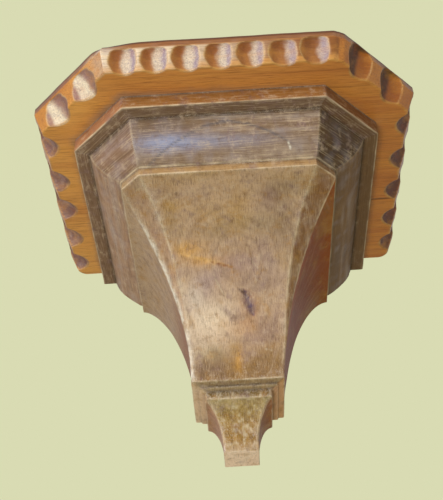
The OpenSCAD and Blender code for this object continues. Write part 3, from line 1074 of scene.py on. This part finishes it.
def board_material():
    """Varnished softwood with its grain along the wall, glossy where the varnish is thick."""
    material, tree, shader, place = new_material("varnished_board_wood")
    colour = attribute(tree, "paint", 0)
    cut = attribute(tree, "cut")
    speckle_and_reflection = attribute(tree, "pale")
    fibre = stretched_noise(tree, place, (0.03, 1, 1), 1.6, 6.0, 0.75)
    streak = stretched_noise(tree, place, (0.012, 1, 1), 0.55, 4.0, 0.6)
    broad = stretched_noise(tree, place, (0.02, 1, 1), 0.12, 3.0, 0.5)
    speck = stretched_noise(tree, place, (0.7, 1, 1), 1.0, 5.0, 0.9)
    off_cut = calc(tree, "SUBTRACT", 1.0, product(tree, cut, 0.6))
    colour = overlay(
        tree,
        colour,
        (broad, 0.45, 0.7, 0.4, "d8923c"),
        (broad, 0.5, 0.3, 0.35, "ac5f26"),
        (streak, 0.56, 0.68, 0.35, "66371a", off_cut),
        (fibre, 0.5, 0.36, 0.65, "6f3c18", off_cut),
        (fibre, 0.55, 0.75, 0.35, "dfa75c"),
        # painted reflection in the scoops, broken into purple and cream speckle, with some speckle in the
        # cuts on the left
        (speck, 0.53, 0.6, 0.6, "857590", speckle_and_reflection),
        (speck, 0.45, 0.38, 0.5, "f2e8d8", speckle_and_reflection),
        (speck, 0.5, 0.62, 0.25, "5f4136", cut),
    )
    roughness = calc(tree, "ADD", product(tree, fibre, 0.3), 0.2)
    height = calc(tree, "ADD", fibre, product(tree, product(tree, speck, cut), 1.8))
    finish_material(tree, shader, colour, roughness, height, 0.4)
    shader.inputs["Specular IOR Level"].default_value = 0.3
    shader.inputs["Coat Weight"].default_value = 0.3
    shader.inputs["Coat Roughness"].default_value = 0.14
    return material


# ---- the pieces
body = build_body()
body.data.materials.append(body_material())
board = build_board()
board.data.materials.append(board_material())
for piece, node, slot in (
    (body, "corbel_body", "body_wood"),
    (board, "shelf_board", "shelf_wood"),
):
    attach(piece, "root")
    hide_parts(node)

# ---- camera, lights, floor
CAMERA_PLACE = Vector((-2.2, -697.2, -496.7)) * MM
CAMERA_TURN = math.radians(0.62)
CAMERA_TILT_UP = math.radians(39.34)
CAMERA_ROLL = math.radians(-2.91)
CAMERA_LENS = 68.4

scene = bpy.context.scene
camera = bpy.data.objects.new("camera", bpy.data.cameras.new("camera"))
scene.collection.objects.link(camera)
scene.camera = camera
camera.data.lens = CAMERA_LENS
camera.data.clip_start = 0.01
camera.matrix_world = (
    Matrix.Translation(CAMERA_PLACE)
    @ Matrix.Rotation(math.pi / 2, 4, "X")
    @ Matrix.Rotation(CAMERA_TURN, 4, "Y")
    @ Matrix.Rotation(CAMERA_TILT_UP, 4, "X")
    @ Matrix.Rotation(CAMERA_ROLL, 4, "Z")
)
AIM = Vector((0, -110, -10)) * MM


def soft_light(name, direction, distance, size, power, colour):
    """A rectangular lamp that faces the object from a direction."""
    lamp = bpy.data.lights.new(name, "AREA")
    lamp.shape = "RECTANGLE"
    lamp.size, lamp.size_y = size
    lamp.energy = power
    lamp.color = colour
    holder = bpy.data.objects.new(name, lamp)
    scene.collection.objects.link(holder)
    way = Vector(direction).normalized()
    holder.location = AIM + way * distance
    holder.rotation_euler = (-way).to_track_quat("-Z", "Y").to_euler()


soft_light("window", (-0.5, -0.85, 0.14), 1.5, (0.95, 0.8), 12, (1.0, 0.97, 0.92))
soft_light("sky", (-0.25, -0.62, -0.75), 1.3, (0.5, 0.35), 7.5, (0.9, 0.94, 1.0))

BACKGROUND = flat("d9dbb3")
world = bpy.data.worlds.new("pale_room")
scene.world = world
world.use_nodes = True
tree = world.node_tree
tree.nodes.clear()
rays = add_node(tree, "LightPath")
shown = rays.outputs["Is Camera Ray"]
ambient = add_node(tree, "Background", {"Color": (1, 1, 1, 1), "Strength": 0.5})
seen = add_node(tree, "Background", {"Color": BACKGROUND, "Strength": 1.0})
both = add_node(tree, "MixShader", {0: shown, 1: ambient.outputs[0], 2: seen.outputs[0]})
add_node(tree, "OutputWorld", {"Surface": both.outputs[0]})

FLOOR_DROP = -1.7
bpy.ops.mesh.primitive_plane_add(size=14, location=(0, 0, FLOOR_DROP))
floor = bpy.context.object
floor.name = "floor"
floor_paint = bpy.data.materials.new("floor_paint")
floor_paint.use_nodes = True
floor_shader = floor_paint.node_tree.nodes["Principled BSDF"]
floor_shader.inputs["Base Color"].default_value = BACKGROUND
floor_shader.inputs["Roughness"].default_value = 0.9
floor.data.materials.append(floor_paint)

scene.view_settings.view_transform = "Standard"
